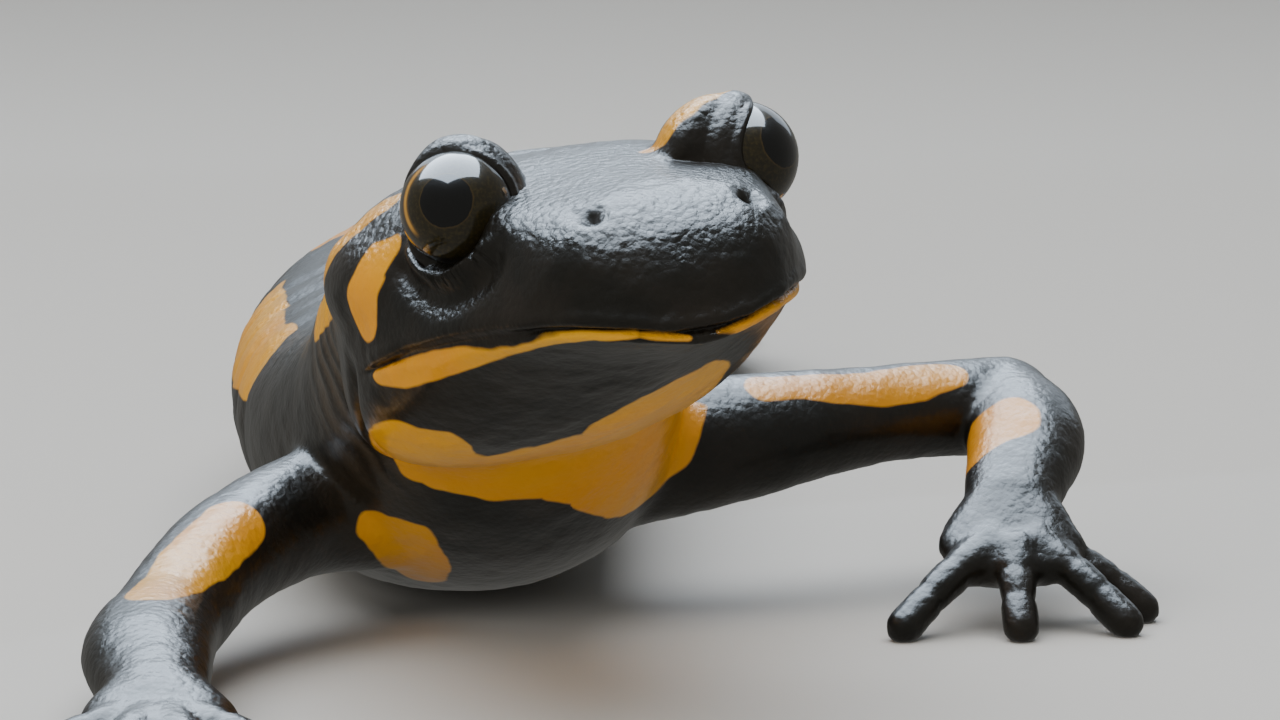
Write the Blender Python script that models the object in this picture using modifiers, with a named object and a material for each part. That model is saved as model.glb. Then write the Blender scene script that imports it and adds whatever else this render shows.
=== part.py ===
"""A life-size fire salamander, as a still model.

The animal faces -Y and lies on the plane z = 0, with its head raised and turned to
its left (+X).  Its flesh is built whole from lofts, joined and smoothed, and then
parted with thin cuts into the pieces that a person would name.
Lengths below are in millimetres, and MM turns them into metres.
"""
import math

import bmesh
import bpy
import numpy as np
from mathutils import Euler, Matrix, Vector

MM = 0.001

# Driving dimensions
GAP = 0.3                      # the width of each cut between two pieces
CUT_MARGIN = 1.2               # how far a cut reaches past the sides of what it parts
GRAIN = 0.3                    # the grid that the joined flesh is rebuilt on
SOFTEN_SHARE = 0.5             # how far each round draws a point to its neighbours
SOFTEN_ROUNDS = 4
FLESH_TRIANGLES = 4700
RING_POINTS = 28
BODY_STEPS = 6                 # rings from one station to the next
LEG_STEPS = 5
BODY_POWER = 2.1               # how square a ring is, from 2 for an ellipse
LEG_POWER = 2.0
DOME_TURNS = (25, 50, 70, 84)  # degrees round the dome that closes a tube's far end
BALL_SEGMENTS = (20, 12)

SKIN_COLOUR = (0.015, 0.015, 0.018, 1)
SKIN_ROUGHNESS = 0.35
EYE_COLOUR = (0.01, 0.007, 0.005, 1)
EYE_ROUGHNESS = 0.05

MOUTH_TIP = (0.0, 0.0, 16.2)   # the front of the mouth line, above the floor
HEAD_YAW = 21.0                # degrees to its left
HEAD_PITCH = 7.0               # snout up
HEAD_ROLL = 7.0                # left side up
HEAD_LENGTH = 21.0
HEAD_RINGS = 27
SNOUT_START = 0.02             # the first ring, behind the mouth tip
RING_CROWDING = 1.7            # above 1, the rings stand closer together at the snout

# Places in the head's frame: ahead, to the side, up
EYE_RADIUS = 2.15
EYE_PLACE = (-8.6, 5.7, 5.2)
BROW_PLACE = (-8.3, 4.8, 4.9)
BROW_RADII = (3.3, 2.6, 2.9)
PAROTOID_PLACE = (-15.4, 6.3, 2.4)
PAROTOID_RADII = (5.0, 2.5, 2.6)
SKULL_MIDDLE = (-9.0, 0.0, 3.0)
JAW_MIDDLE = (-9.0, 0.0, -2.5)

# The head's half width, the height of its top and the depth of its jaw, each by the
# distance behind the mouth tip
HEAD_HALF_WIDTH = ((0.0, 0.6), (0.15, 1.7), (0.5, 2.8), (1.5, 4.1), (3.0, 5.1), (5.0, 6.1),
                   (7.5, 7.0), (10.0, 7.7), (13.0, 8.35), (15.5, 8.5), (18.0, 8.1), (21.0, 7.3))
HEAD_TOP = ((0.0, 1.8), (0.5, 3.1), (1.5, 4.2), (3.0, 4.95), (5.5, 5.55), (8.6, 6.1),
            (12.0, 6.5), (15.0, 6.5), (18.0, 6.2), (21.0, 5.7))
JAW_DEPTH = ((0.0, 0.8), (1.5, 0.75), (4.0, 1.2), (8.0, 2.7), (12.0, 4.4),
             (16.0, 5.2), (21.0, 5.4))
# How square the skull's shoulders, the jaw's sides and the lips are
SKULL_POWER = ((0.0, 3.4), (2.5, 3.3), (4.2, 2.7), (6.0, 2.15), (7.5, 1.95), (10.0, 2.2),
               (13.0, 2.9), (21.0, 3.2))
JAW_POWER = ((0.0, 1.5), (4.0, 1.35), (8.0, 1.4), (11.0, 1.5), (14.0, 1.7), (21.0, 2.2))
# The throat is squarer on the outer side of the head's turn
OUTER_JAW_POWER = ((0.0, 1.5), (4.0, 1.35), (8.0, 1.7), (11.0, 2.2), (14.0, 2.8), (21.0, 2.8))
LIP_POWER = 6.0
LIP_HEIGHT = 0.9               # from the mouth line to the widest part of the upper lip
JAW_WIDEST_BELOW = 0.15        # below the mouth line
JAW_OVERLAP = 0.6              # how far the jaw's loft runs up into the skull's
JAW_SETBACK = 0.18             # the jaw's tip, behind the upper lip's
JAW_NARROW = 0.975             # the jaw's width at its tip, as a share of the head's
JAW_WIDENS_BY = 0.02
JAW_WIDENS_OVER = 14.0

# The mouth line, seen from the side, dips at its front and towards its corner
MOUTH_LINE = ((-21.0, -1.6), (-18.8, -1.25), (-14.0, -0.5), (-11.0, 0.0), (-8.0, 0.35),
              (-5.0, 0.5), (-3.0, 0.52), (-1.5, 0.4), (-0.5, 0.1), (0.0, -0.3), (2.0, -0.3))
MOUTH_CUT_START = 2.0          # ahead of the mouth tip
MOUTH_CUT_HALF = 11.0
MOUTH_CUT_PLACES = 30
HEAD_CUT_AT = 18.8             # behind the mouth tip
HEAD_CUT_SIZE = (22.0, 18.0)   # across, and up and down

# Body stations, from inside the head to the tip of the tail:
# x, y, height of the centre, half width, rise above the centre, drop below it
BODY = (
    (-5.4, 13.6, 15.9, 7.4, 5.2, 5.2),
    (-7.4, 19.6, 14.0, 7.3, 5.5, 5.6),
    (-8.6, 26.4, 9.3, 7.9, 6.0, 6.9),
    (-10.0, 34.5, 6.9, 8.7, 6.0, 6.9),
    (-10.8, 44.0, 6.4, 9.4, 6.0, 6.7),
    (-11.1, 54.0, 6.4, 9.7, 6.2, 6.7),
    (-10.8, 64.0, 6.3, 9.4, 6.2, 6.6),
    (-9.9, 74.0, 6.1, 8.5, 6.0, 6.4),
    (-8.6, 84.0, 5.8, 7.2, 5.8, 6.0),
    (-7.9, 94.0, 5.1, 5.8, 5.3, 5.25),
    (-7.2, 104.0, 4.5, 4.7, 4.7, 4.62),
    (-6.4, 115.0, 4.1, 4.0, 4.2, 4.22),
    (-5.8, 126.5, 3.5, 3.4, 3.6, 3.62),
    (-6.1, 138.0, 2.85, 2.8, 3.0, 2.97),
    (-7.8, 149.0, 2.25, 2.15, 2.35, 2.37),
    (-10.4, 158.8, 1.65, 1.55, 1.7, 1.77),
    (-13.0, 167.0, 1.15, 1.05, 1.15, 1.25),
)
BODY_CUTS = (5, 9, 11, 13)     # the stations where the trunk and tail are parted
NECK_CUT = (-7.9, 22.4, 12.2)  # just ahead of the shoulders
NECK_CUT_SIZE = (18.0, 22.0)

# Legs, from inside the trunk out: stations of x, y, z, half width and half thickness;
# where the leg is parted from the trunk, and which way that cut faces; and its hand or
# foot: the way it points, and each digit's turn from that and its reach.
# A heading is in degrees from -Y towards +X.
LEGS = {
    "fore_left": {
        "upper": ((-3.5, 29.4, 6.5, 3.0, 3.1), (1.7, 30.4, 7.1, 2.5, 2.7),
                  (7.6, 33.4, 7.6, 1.95, 2.05), (13.0, 36.4, 7.5, 2.1, 2.1)),
        "lower": ((13.0, 36.4, 7.5, 2.1, 2.1), (13.7, 33.0, 6.5, 2.5, 2.2),
                  (12.8, 28.6, 4.7, 2.0, 1.55)),
        "palm": ((12.8, 28.6, 4.7, 2.0, 1.45), (12.7, 26.9, 3.3, 3.0, 1.3),
                 (12.7, 25.6, 2.5, 2.4, 0.95)),
        "root": ((0.7, 30.2, 7.0), 95),
        "heading": 0, "digits": ((-50, 5.9), (3, 3.8), (58, 5.3), (92, 5.4)),
    },
    "fore_right": {
        "upper": ((-10.5, 26.8, 5.4, 3.0, 3.1), (-15.6, 23.8, 5.1, 2.6, 2.6),
                  (-18.9, 18.8, 4.1, 2.3, 2.3), (-20.7, 13.0, 2.6, 2.2, 2.15)),
        "lower": ((-20.7, 13.0, 2.6, 2.2, 2.15), (-20.9, 8.2, 2.35, 2.5, 2.1),
                  (-20.2, 3.2, 1.9, 1.95, 1.45)),
        "palm": ((-20.2, 3.2, 1.9, 2.0, 1.45), (-19.9, 1.2, 1.4, 3.0, 1.3),
                 (-19.7, -0.2, 1.05, 2.4, 0.95)),
        "root": ((-17.3, 21.9, 4.8), -60),
        "heading": 5, "digits": ((55, 5.4), (15, 6.4), (-22, 6.6), (-62, 5.4)),
    },
    "hind_left": {
        "upper": ((-6.5, 84.0, 5.4, 3.2, 3.2), (-1.6, 85.6, 5.2, 2.9, 3.0),
                  (1.1, 88.6, 4.8, 2.55, 2.6), (2.0, 92.6, 4.1, 2.3, 2.3)),
        "lower": ((2.0, 92.6, 4.1, 2.3, 2.3), (1.5, 96.8, 3.2, 2.5, 2.2),
                  (0.4, 101.2, 2.2, 1.95, 1.55)),
        "palm": ((0.4, 101.2, 2.2, 2.0, 1.45), (0.4, 103.3, 1.5, 2.6, 1.2),
                 (0.5, 104.8, 1.1, 2.4, 0.95)),
        "root": ((-0.2, 86.8, 5.2), 94),
        "heading": 178, "digits": ((-50, 3.6), (-26, 5.4), (-2, 6.6), (18, 6.2), (38, 4.6)),
    },
    "hind_right": {
        "upper": ((-10.0, 84.8, 5.4, 3.2, 3.2), (-14.3, 87.0, 5.2, 2.9, 3.0),
                  (-16.8, 90.2, 4.8, 2.55, 2.6), (-17.6, 94.2, 4.1, 2.3, 2.3)),
        "lower": ((-17.6, 94.2, 4.1, 2.3, 2.3), (-17.5, 98.4, 3.2, 2.5, 2.2),
                  (-16.6, 102.8, 2.2, 1.95, 1.55)),
        "palm": ((-16.6, 102.8, 2.2, 2.0, 1.45), (-16.6, 105.0, 1.5, 2.7, 1.2),
                 (-16.7, 106.6, 1.1, 2.5, 0.95)),
        "root": ((-16.0, 88.2, 5.1), -110),
        "heading": -172, "digits": ((60, 4.2), (30, 5.8), (2, 7.0), (-25, 6.3), (-52, 4.5)),
    },
}
DIGIT_RADII = (1.1, 0.8, 0.8)
DIGIT_TIP_HEIGHT = 0.57
DIGIT_ARCH = 0.3               # how far a digit bows up between palm and tip
DIGIT_START = 0.9              # from the palm's middle
ROOT_CUT_SIZE = (11.5, 12.5)
FLOOR_BLOCK = ((200.0, 400.0, 10.0), (0.0, 80.0, -5.0))   # its size and its middle


def clear_scene():
    """Remove whatever the scene starts with."""
    for old in list(bpy.data.objects):
        bpy.data.objects.remove(old, do_unlink=True)


def new_collection(name):
    """A collection linked to the scene."""
    made = bpy.data.collections.new(name)
    bpy.context.scene.collection.children.link(made)
    return made


def new_object(name, mesh, collection):
    """An object of a mesh, in its collection."""
    made = bpy.data.objects.new(name, mesh)
    collection.objects.link(made)
    return made


def between(rows, place):
    """The value at a place in a short table of place and value, on a smooth curve."""
    places, values = np.array(rows).T
    slopes = np.gradient(values, places)
    index = int(np.clip(np.searchsorted(places, place) - 1, 0, len(places) - 2))
    span = places[index + 1] - places[index]
    t = min(max((place - places[index]) / span, 0), 1)
    start = (1 + 2 * t) * (1 - t) ** 2 * values[index] + t * (1 - t) ** 2 * span * slopes[index]
    end = t * t * (3 - 2 * t) * values[index + 1] + t * t * (t - 1) * span * slopes[index + 1]
    return float(start + end)


def smooth_run(stations, steps):
    """Rows of a smooth curve through the stations, with some steps between each pair."""
    rows = np.array(stations, dtype=float)
    rows = np.vstack([2 * rows[0] - rows[1], rows, 2 * rows[-1] - rows[-2]])
    run = []
    for first in range(len(rows) - 3):
        before, here, there, after = rows[first:first + 4]
        for step in range(steps):
            t = step / steps
            run.append(here + 0.5 * t * ((there - before)
                       + t * (2 * before - 5 * here + 4 * there - after)
                       + t * t * (3 * here - before - 3 * there + after)))
    run.append(rows[-2])
    return run


def ring(centre, side, up, half_width, rise, drop, power, under_power):
    """One closed ring: a rounded oval of its own height above and below its centre."""
    angle = 2 * math.pi * np.arange(RING_POINTS) / RING_POINTS
    powers = np.where(np.sin(angle) > 0, power, under_power)
    across = np.sign(np.cos(angle)) * np.abs(np.cos(angle)) ** (2 / powers)
    along = np.sign(np.sin(angle)) * np.abs(np.sin(angle)) ** (2 / powers)
    height = np.where(along > 0, rise, drop) * along
    return np.array(centre) + np.outer(across * half_width, side) + np.outer(height, up)


def facing_out(shell, name):
    """A mesh of a closed shell with its faces turned out; the shell is freed."""
    bmesh.ops.recalc_face_normals(shell, faces=shell.faces)
    mesh = bpy.data.meshes.new(name)
    shell.to_mesh(mesh)
    shell.free()
    return mesh


def loft(rings):
    """A closed mesh of quads through the rings, with flat ends."""
    shell = bmesh.new()
    loops = [[shell.verts.new(point * MM) for point in one] for one in rings]
    for near, far in zip(loops, loops[1:]):
        for index in range(RING_POINTS):
            after = (index + 1) % RING_POINTS
            shell.faces.new((near[index], near[after], far[after], far[index]))
    shell.faces.new(loops[0])
    shell.faces.new(loops[-1])
    return facing_out(shell, "loft")


def tube(stations, steps, power):
    """A loft along stations of x, y, z, half width, rise and drop, with a round far end."""
    run = smooth_run(stations, steps)
    rings = []
    for index, row in enumerate(run):
        ahead = run[min(index + 1, len(run) - 1)][:3]
        behind = run[max(index - 1, 0)][:3]
        along = Vector(ahead - behind).normalized()
        side = along.cross(Vector((0, 0, 1))).normalized()
        up = side.cross(along)
        rings.append(ring(row[:3], side, up, *row[3:], power, power))
    end = Vector(run[-1][:3])
    width, rise, drop = run[-1][3:]
    for turn in DOME_TURNS:
        shrink = math.cos(math.radians(turn))
        reach = math.sin(math.radians(turn)) * min(width, rise)
        rings.append(ring(end + along * reach, side, up,
                          width * shrink, rise * shrink, drop * shrink, power, power))
    return loft(rings)


def head_matrix():
    """The head's frame: x ahead, y to its left, z up, with its origin at the mouth tip."""
    turn = Euler((math.radians(HEAD_ROLL), math.radians(-HEAD_PITCH), 0)).to_matrix()
    aim = Matrix.Rotation(math.radians(HEAD_YAW - 90), 3, "Z")
    return Matrix.Translation(MOUTH_TIP) @ (aim @ turn).to_4x4()


def place_in_head(mesh, frame):
    """Move a mesh made in the head's frame, in metres, to where the head is."""
    moved = frame.copy()
    moved.translation = frame.translation * MM
    mesh.transform(moved)
    return mesh


def ball(place, radii, frame):
    """A closed ellipsoid in the head's frame."""
    shell = bmesh.new()
    around, over = BALL_SEGMENTS
    bmesh.ops.create_uvsphere(shell, u_segments=around, v_segments=over, radius=1)
    mesh = facing_out(shell, "ball")
    size = Matrix.Diagonal([radius * MM for radius in radii] + [1])
    mesh.transform(Matrix.Translation(Vector(place) * MM) @ size)
    return place_in_head(mesh, frame)


def mirrored(place, side):
    """A place in the head's frame on one side, -1 for the right and 1 for the left."""
    return (place[0], place[1] * side, place[2])


def mouth_height(back):
    """The height of the mouth line at a distance behind the mouth tip."""
    return between(MOUTH_LINE, -back)


def ring_distances():
    """How far behind the mouth tip each of the head's rings is."""
    steps = np.linspace(0, 1, HEAD_RINGS) ** RING_CROWDING
    return SNOUT_START + (HEAD_LENGTH - SNOUT_START) * steps


def head_ring(back, half_width, widest, top, bottom, power, under_power):
    """An upright ring of the head, from its bottom to its top, in the head's frame."""
    return ring((-back, 0, widest), (0, 1, 0), (0, 0, 1), half_width,
                top - widest, widest - bottom, power, under_power)


def skull_mesh(frame):
    """The skull and its upright upper lip, down to the mouth line."""
    rings = []
    for back in ring_distances():
        lip = mouth_height(back)
        widest = lip + LIP_HEIGHT
        rings.append(head_ring(back, between(HEAD_HALF_WIDTH, back), widest,
                               between(HEAD_TOP, back), lip,
                               between(SKULL_POWER, back), LIP_POWER))
    return place_in_head(loft(rings), frame)


def jaw_mesh(frame):
    """The lower jaw and the throat, a little inside the upper lip."""
    left_under = np.arange(RING_POINTS) > RING_POINTS * 3 / 4
    rings = []
    for back in ring_distances():
        lip = mouth_height(back)
        share = JAW_NARROW + JAW_WIDENS_BY * min(back / JAW_WIDENS_OVER, 1) ** 3
        under = np.where(left_under, between(JAW_POWER, back), between(OUTER_JAW_POWER, back))
        rings.append(head_ring(back + JAW_SETBACK, between(HEAD_HALF_WIDTH, back) * share,
                               lip - JAW_WIDEST_BELOW, lip + JAW_OVERLAP,
                               -between(JAW_DEPTH, back), LIP_POWER, under))
    return place_in_head(loft(rings), frame)


def head_meshes(frame):
    """Skull and upper lip, lower jaw, brows over the eyes and the glands behind them."""
    meshes = [skull_mesh(frame), jaw_mesh(frame)]
    for side in (-1, 1):
        meshes.append(ball(mirrored(BROW_PLACE, side), BROW_RADII, frame))
        meshes.append(ball(mirrored(PAROTOID_PLACE, side), PAROTOID_RADII, frame))
    return meshes


def heading_vector(degrees):
    """The level direction at an angle from -Y towards +X."""
    angle = math.radians(degrees)
    return Vector((math.sin(angle), -math.cos(angle), 0))


def digit_stations(palm, heading, reach):
    """One finger or toe: from the palm, over a low arch, to a tip on the floor."""
    middle = Vector(palm[:3])
    way = heading_vector(heading)
    tip = middle + way * reach
    tip.z = DIGIT_TIP_HEIGHT
    root = middle + way * DIGIT_START
    arch = root.lerp(tip, 0.5)
    arch.z += DIGIT_ARCH
    return [tuple(place) + (radius, radius, radius)
            for place, radius in zip((root, arch, tip), DIGIT_RADII)]


def leg_meshes(leg):
    """One leg: two lengths, a palm and its digits."""
    meshes = []
    for length in ("upper", "lower", "palm"):
        rows = [row[:4] + (row[4], row[4]) for row in leg[length]]
        meshes.append(tube(rows, LEG_STEPS, LEG_POWER))
    for turn, reach in leg["digits"]:
        rows = digit_stations(leg["palm"][1], leg["heading"] + turn, reach)
        meshes.append(tube(rows, LEG_STEPS, LEG_POWER))
    return meshes


def joined(meshes):
    """One mesh that holds them all."""
    whole = bmesh.new()
    for mesh in meshes:
        whole.from_mesh(mesh)
    mesh = bpy.data.meshes.new("joined")
    whole.to_mesh(mesh)
    whole.free()
    return mesh


def evaluated(made):
    """The mesh of an object after its modifiers."""
    bpy.context.view_layer.update()
    graph = bpy.context.evaluated_depsgraph_get()
    return bpy.data.meshes.new_from_object(made.evaluated_get(graph))


def flesh_mesh(frame, collection):
    """The whole animal but for its eyes, as one smooth closed mesh of few triangles."""
    meshes = [tube(BODY, BODY_STEPS, BODY_POWER)] + head_meshes(frame)
    for leg in LEGS.values():
        meshes.extend(leg_meshes(leg))
    flesh = new_object("flesh", joined(meshes), collection)
    remesh = flesh.modifiers.new("join", "REMESH")
    remesh.mode = "VOXEL"
    remesh.voxel_size = GRAIN * MM
    soften = flesh.modifiers.new("soften", "SMOOTH")
    soften.factor = SOFTEN_SHARE
    soften.iterations = SOFTEN_ROUNDS
    flesh.data = evaluated(flesh)
    flesh.modifiers.clear()
    flesh.data.calc_loop_triangles()
    thin = flesh.modifiers.new("thin", "DECIMATE")
    thin.ratio = FLESH_TRIANGLES / len(flesh.data.loop_triangles)
    thin.use_collapse_triangulate = True
    mesh = evaluated(flesh)
    bpy.data.objects.remove(flesh, do_unlink=True)
    return mesh


def box_mesh():
    """A closed cube, one metre each way, about the origin."""
    shell = bmesh.new()
    bmesh.ops.create_cube(shell, size=1)
    return facing_out(shell, "box")


def slab(place, along, size):
    """A thin box across a length of the animal, its size across and up and down."""
    mesh = box_mesh()
    along = Vector(along).normalized()
    side = along.cross(Vector((0, 0, 1))).normalized()
    up = side.cross(along)
    turn = Matrix((side, along, up)).transposed().to_4x4()
    scale = Matrix.Diagonal((size[0] * MM, GAP * MM, size[1] * MM, 1))
    mesh.transform(Matrix.Translation(Vector(place) * MM) @ turn @ scale)
    return mesh


def mouth_cut(frame):
    """The thin bent sheet between the lips, from the snout back past the mouth corner."""
    places = np.linspace(MOUTH_CUT_START, -HEAD_CUT_AT, MOUTH_CUT_PLACES)
    upper = [(x, -MOUTH_CUT_HALF, mouth_height(-x) + GAP / 2) for x in places]
    lower = [(x, -MOUTH_CUT_HALF, mouth_height(-x) - GAP / 2) for x in reversed(places)]
    shell = bmesh.new()
    edge = shell.faces.new([shell.verts.new(Vector(point) * MM) for point in upper + lower])
    swept = bmesh.ops.extrude_face_region(shell, geom=[edge], use_keep_orig=True)
    moved = [item for item in swept["geom"] if isinstance(item, bmesh.types.BMVert)]
    bmesh.ops.translate(shell, verts=moved, vec=(0, 2 * MOUTH_CUT_HALF * MM, 0))
    return place_in_head(facing_out(shell, "mouth_cut"), frame)


def body_cut(near):
    """A cut across the body at a station, square to its run and clear of the legs."""
    run = Vector(BODY[near + 1][:3]) - Vector(BODY[near - 1][:3])
    half_width, rise, drop = BODY[near][3:]
    size = (2 * (half_width + CUT_MARGIN), 2 * (max(rise, drop) + CUT_MARGIN))
    return slab(BODY[near][:3], run, size)


def leg_cuts(leg):
    """The cuts of one leg: at the trunk, at the elbow or knee, and at the wrist."""
    root, facing = leg["root"]
    cuts = [slab(root, heading_vector(facing), ROOT_CUT_SIZE)]
    for above, below in (("upper", "lower"), ("lower", "palm")):
        joint = Vector(leg[below][0][:3])
        toward = (joint - Vector(leg[above][-2][:3])).normalized()
        onward = (Vector(leg[below][1][:3]) - joint).normalized()
        # The sharper the bend, the wider the leg is where the cut halves the angle
        facing = (toward + onward) / 2
        size = [2 * (half / facing.length + CUT_MARGIN) for half in leg[below][0][3:]]
        cuts.append(slab(joint, facing, size))
    return cuts


def floor_block():
    """The block under z = 0, which leaves small flats where the animal rests."""
    size, middle = FLOOR_BLOCK
    mesh = box_mesh()
    scale = Matrix.Diagonal([length * MM for length in size] + [1])
    mesh.transform(Matrix.Translation(Vector(middle) * MM) @ scale)
    return mesh


def cutter_meshes(frame):
    """All that is taken from the flesh: the thin cuts, the eye sockets and the floor."""
    nape = frame @ Vector((-HEAD_CUT_AT, 0, 0))
    ahead = frame.to_3x3() @ Vector((1, 0, 0))
    neck_run = Vector(BODY[2][:3]) - Vector(BODY[1][:3])
    meshes = [mouth_cut(frame),
              slab(nape, ahead, HEAD_CUT_SIZE),
              slab(NECK_CUT, neck_run, NECK_CUT_SIZE)]
    for near in BODY_CUTS:
        meshes.append(body_cut(near))
    for leg in LEGS.values():
        meshes.extend(leg_cuts(leg))
    for side in (-1, 1):
        meshes.append(ball(mirrored(EYE_PLACE, side), [EYE_RADIUS + GAP] * 3, frame))
    meshes.append(floor_block())
    return meshes


def loose_pieces(mesh):
    """The separate closed bodies of a mesh, each as the list of its faces' vertices."""
    whole = bmesh.new()
    whole.from_mesh(mesh)
    unseen = dict.fromkeys(whole.verts)
    bodies = []
    while unseen:
        first = next(iter(unseen))
        del unseen[first]
        found = [first]
        for vertex in found:
            for edge in vertex.link_edges:
                other = edge.other_vert(vertex)
                if other in unseen:
                    del unseen[other]
                    found.append(other)
        order = {vertex: number for number, vertex in enumerate(found)}
        faces = dict.fromkeys(face for vertex in found for face in vertex.link_faces)
        body = bpy.data.meshes.new("piece")
        body.from_pydata([tuple(vertex.co) for vertex in order], [],
                         [[order[vertex] for vertex in face.verts] for face in faces])
        bodies.append(body)
    whole.free()
    return bodies


def middle_of(mesh):
    """The mean of a mesh's vertices, in millimetres."""
    total = Vector((0, 0, 0))
    for vertex in mesh.vertices:
        total += vertex.co
    return total / len(mesh.vertices) / MM


def piece_places(frame):
    """About where the middle of each piece of flesh is, by the piece's name."""
    places = {
        "head": frame @ Vector(SKULL_MIDDLE),
        "lower_jaw": frame @ Vector(JAW_MIDDLE),
        "neck": Vector(BODY[1][:3]),
        "trunk_front": Vector(BODY[3][:3]),
        "trunk_rear": Vector(BODY[7][:3]),
        "tail_base": Vector(BODY[10][:3]),
        "tail_middle": Vector(BODY[12][:3]),
        "tail_end": Vector(BODY[14][:3]),
    }
    for leg, rows in LEGS.items():
        fore = leg.startswith("fore")
        side = leg.split("_")[1]
        upper = (Vector(rows["upper"][1][:3]) + Vector(rows["upper"][3][:3])) / 2
        places[("upper_arm_" if fore else "thigh_") + side] = upper
        places[("forearm_" if fore else "shank_") + side] = Vector(rows["lower"][1][:3])
        places[("hand_" if fore else "foot_") + side] = Vector(rows["palm"][2][:3])
    return places


def finish(name, colour, roughness):
    """A plain finish of one colour: the markings are left to the looks."""
    material = bpy.data.materials.new(name)
    material.use_nodes = True
    surface = material.node_tree.nodes["Principled BSDF"]
    surface.inputs["Base Color"].default_value = colour
    surface.inputs["Roughness"].default_value = roughness
    surface.inputs["Metallic"].default_value = 0.0
    return material


def cut_flesh(flesh, frame, parts, cutters):
    """Part the flesh with its cutters and name each piece by the nearest place."""
    whole = new_object("flesh", flesh, cutters)
    for number, mesh in enumerate(cutter_meshes(frame)):
        knife = new_object("cutter_%02d" % number, mesh, cutters)
        knife.hide_render = True
        knife.display_type = "WIRE"
        cut = whole.modifiers.new("part", "BOOLEAN")
        cut.object = knife
        cut.solver = "EXACT"
    bodies = loose_pieces(evaluated(whole))
    bpy.data.objects.remove(whole, do_unlink=True)
    places = piece_places(frame)
    material = finish("skin", SKIN_COLOUR, SKIN_ROUGHNESS)
    for body in bodies:
        middle = middle_of(body)
        name = min(places, key=lambda key: (places[key] - middle).length)
        del places[name]
        piece = new_object(name, body, parts)
        piece.data.materials.append(material)


def make_eyes(frame, parts):
    """The two globes, each a ball in its socket."""
    material = finish("eye", EYE_COLOUR, EYE_ROUGHNESS)
    for name, side in (("eye_right", -1), ("eye_left", 1)):
        globe = ball(mirrored(EYE_PLACE, side), [EYE_RADIUS] * 3, frame)
        globe.shade_smooth()
        globe.materials.append(material)
        new_object(name, globe, parts)


def centre_on_floor(parts):
    """Shift the parts so that the middle of their box, seen from above, is the origin."""
    corners = [vertex.co for part in parts.objects for vertex in part.data.vertices]
    low = [min(corner[axis] for corner in corners) for axis in range(2)]
    high = [max(corner[axis] for corner in corners) for axis in range(2)]
    shift = Vector((-(low[0] + high[0]) / 2, -(low[1] + high[1]) / 2, 0))
    for part in parts.objects:
        part.data.transform(Matrix.Translation(shift))


clear_scene()
parts_collection = new_collection("fire_salamander")
cutter_collection = new_collection("cutters")
head_frame = head_matrix()
flesh_shape = flesh_mesh(head_frame, cutter_collection)
cut_flesh(flesh_shape, head_frame, parts_collection, cutter_collection)
make_eyes(head_frame, parts_collection)
centre_on_floor(parts_collection)
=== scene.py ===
"""The looks of a life-size fire salamander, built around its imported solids.

The design is in millimetres, with the mouth tip over x = y = 0, the animal facing -Y and
its left at +X.  Every point is moved into the row frame, in metres, at the end.
"""
import math

import bmesh
import bpy
import numpy as np
from mathutils import Matrix, Vector


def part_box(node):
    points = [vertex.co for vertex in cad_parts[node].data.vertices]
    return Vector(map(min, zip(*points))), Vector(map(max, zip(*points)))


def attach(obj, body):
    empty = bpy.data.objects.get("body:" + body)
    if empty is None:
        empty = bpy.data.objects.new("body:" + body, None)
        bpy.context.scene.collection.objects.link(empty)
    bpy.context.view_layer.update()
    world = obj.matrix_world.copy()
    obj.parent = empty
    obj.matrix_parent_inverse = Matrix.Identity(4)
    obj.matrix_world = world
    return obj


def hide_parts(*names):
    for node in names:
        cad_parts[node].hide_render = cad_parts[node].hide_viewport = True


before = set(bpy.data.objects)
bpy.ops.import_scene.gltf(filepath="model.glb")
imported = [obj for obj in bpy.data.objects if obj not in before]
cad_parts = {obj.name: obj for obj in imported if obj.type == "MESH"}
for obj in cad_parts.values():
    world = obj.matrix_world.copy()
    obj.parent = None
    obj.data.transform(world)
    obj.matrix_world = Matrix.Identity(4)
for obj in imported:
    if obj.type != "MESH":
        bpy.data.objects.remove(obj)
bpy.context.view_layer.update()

MM = 0.001


# ---------------------------------------------------------------------------------------
# The head's frame and the place of the whole design.
# The head is raised, turned to its left and a little rolled.  Its frame has x ahead, y to
# its left and z up, from the front of the mouth line.  The right eye's solid says where
# the design lies in the row frame.
# ---------------------------------------------------------------------------------------
MOUTH_TIP = np.array([0.0, 0.0, 16.2])
HEAD_YAW = 21.0                # degrees, from -Y towards +X
HEAD_PITCH = 7.0               # snout up
HEAD_ROLL = 7.0                # left side up
EYE_RADIUS = 2.15
EYE_PLACE = np.array([-8.6, 5.7, 5.2])
RIGHT = np.array([1.0, -1.0, 1.0])


def turning(axis, degrees):
    """A rotation matrix about a main axis."""
    return np.array(Matrix.Rotation(math.radians(degrees), 3, axis))


head_turn = turning("Z", HEAD_YAW - 90) @ turning("Y", -HEAD_PITCH) @ turning("X", HEAD_ROLL)


def from_head(places):
    """Places in the head's frame, as places in the design."""
    return np.asarray(places, float) @ head_turn.T + MOUTH_TIP


def in_head(places):
    """Places in the design, as places in the head's frame."""
    return (np.asarray(places, float) - MOUTH_TIP) @ head_turn


low, high = (np.array(corner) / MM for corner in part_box("eye_right"))
design_shift = (low + high) / 2 - from_head(EYE_PLACE * RIGHT)


def into_row_frame(places):
    """Places in the design, in the row frame and in metres."""
    return (np.asarray(places, float) + design_shift) * MM


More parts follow.
